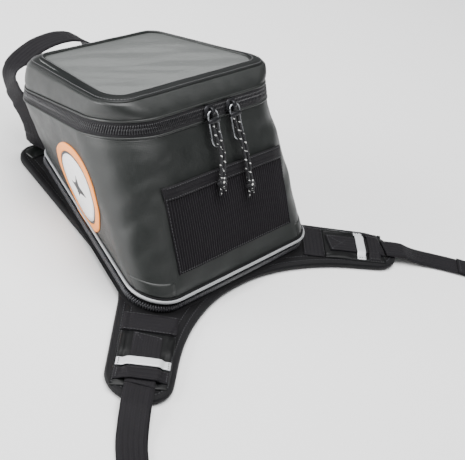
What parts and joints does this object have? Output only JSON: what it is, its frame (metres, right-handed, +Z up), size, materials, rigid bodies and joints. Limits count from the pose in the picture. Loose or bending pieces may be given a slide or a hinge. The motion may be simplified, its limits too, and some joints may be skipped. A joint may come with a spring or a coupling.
{
  "type": "motorcycle tank bag",
  "caption": "Wedge-shaped soft tank bag with a clear lid window, ribbed rear pocket and cord zip pulls, zipped to a padded strap harness.",
  "frame": {"origin": "centre of the bag's base outline on the harness underside, which lies flat on z = 0", "axes": "+Z up from the tank, -Y to the rider, +Y to the handlebar, +X to the rider's right"},
  "size_m": [0.5388, 0.4555, 0.1589],
  "materials": {
    "coated_cloth": "matt coated",
    "pad_cloth": "woven",
    "webbing": "woven",
    "grip_rubber": "matt",
    "foam": "foam",
    "stretch_cloth": "ribbed",
    "reflective": "retroreflective",
    "zip_tape": "woven",
    "zip_coil": "matt",
    "slider_metal": "satin black",
    "wire_metal": "gunmetal",
    "clear_window": "clear soft sheet",
    "grey_sheet": "satin",
    "badge_orange": "satin",
    "badge_dark": "satin",
    "badge_white": "satin",
    "cord": "braided with pale flecks"
  },
  "bodies": {
    "harness": {"harness_underside": "grip_rubber", "harness_pad": "foam", "harness_cover": "pad_cloth", "harness_binding": "pad_cloth", "base_zip_tape_lower": "zip_tape", "base_zip_coil_lower": "zip_coil", "front_loop_strap": "webbing", "arm_band_left": "webbing", "arm_patch_left": "coated_cloth", "arm_strap_root_left": "webbing", "arm_keeper_left": "webbing", "reflective_strip_left": "reflective", "ear_patch_left": "coated_cloth", "arm_band_right": "webbing", "arm_patch_right": "coated_cloth", "arm_strap_root_right": "webbing", "arm_keeper_right": "webbing", "reflective_strip_right": "reflective", "ear_patch_right": "coated_cloth"},
    "bag": {"body_shell": "coated_cloth", "body_liner": "foam", "floor_board": "grey_sheet", "base_skin": "coated_cloth", "base_zip_tape_upper": "zip_tape", "base_zip_coil_upper": "zip_coil", "reflective_piping": "reflective", "pocket_panel": "stretch_cloth", "pocket_band": "webbing", "corner_weld_left": "coated_cloth", "corner_weld_right": "coated_cloth", "badge_ring": "badge_orange", "badge_rim": "badge_dark", "badge_disc": "badge_white", "badge_star": "badge_dark", "lid_zip_tape_lower": "zip_tape", "lid_zip_coil_lower": "zip_coil", "hinge_leaf_lower": "coated_cloth"},
    "lid": {"lid_wall": "coated_cloth", "lid_frame": "coated_cloth", "lid_window": "clear_window", "map_pocket_floor": "grey_sheet", "lid_zip_tape_upper": "zip_tape", "lid_zip_coil_upper": "zip_coil", "hinge_leaf_upper": "coated_cloth"},
    "slider_a": {"lid_slider_a": "slider_metal"},
    "slider_b": {"lid_slider_b": "slider_metal"},
    "pull_a": {"wire_loop_a": "wire_metal", "pull_cord_a": "cord", "pull_knot_a": "cord"},
    "pull_b": {"wire_loop_b": "wire_metal", "pull_cord_b": "cord", "pull_knot_b": "cord"},
    "base_slider": {"base_zip_slider": "slider_metal"},
    "base_tab": {"base_zip_tab": "slider_metal"},
    "strap_left": {"rear_strap_left": "webbing", "strap_hem_left": "webbing"},
    "strap_right": {"rear_strap_right": "webbing", "strap_hem_right": "webbing"}
  },
  "joints": [
    {"name": "bag_lift_off", "type": "slide", "parent": "harness", "child": "bag", "axis": [0, 0, 1], "range_m": [0, 0.08]},
    {"name": "lid_hinge", "type": "hinge", "parent": "bag", "child": "lid", "pos_m": [0, 0.1326, 0.0869], "axis": [1, 0, 0], "range_deg": [-85, 0]},
    {"name": "lid_slider_a_slide", "type": "slide", "parent": "bag", "child": "slider_a", "axis": [1, 0, 0], "range_m": [-0.047, 0]},
    {"name": "lid_slider_b_slide", "type": "slide", "parent": "bag", "child": "slider_b", "axis": [1, 0, 0], "range_m": [0, 0.032]},
    {"name": "pull_a_swing", "type": "hinge", "parent": "slider_a", "child": "pull_a", "pos_m": [-0.007, -0.03835, 0.1457], "axis": [1, 0, 0], "range_deg": [-100, 0]},
    {"name": "pull_b_swing", "type": "hinge", "parent": "slider_b", "child": "pull_b", "pos_m": [0.0235, -0.03835, 0.1457], "axis": [1, 0, 0], "range_deg": [-100, 0]},
    {"name": "base_slider_slide", "type": "slide", "parent": "harness", "child": "base_slider", "axis": [-0.3511, 0.9363, 0], "range_m": [-0.11, 0.03]},
    {"name": "base_tab_swing", "type": "hinge", "parent": "base_slider", "child": "base_tab", "pos_m": [0.07005, 0.04954, 0.0098], "axis": [0, 0, 1], "range_deg": [0, 90]},
    {"name": "strap_left_lift", "type": "hinge", "parent": "harness", "child": "strap_left", "pos_m": [-0.18243, -0.1654, 0.0084], "axis": [-0.6112, 0.7915, 0], "range_deg": [0, 60]},
    {"name": "strap_right_lift", "type": "hinge", "parent": "harness", "child": "strap_right", "pos_m": [0.18243, -0.1654, 0.0084], "axis": [-0.6112, -0.7915, 0], "range_deg": [0, 60]}
  ]
}
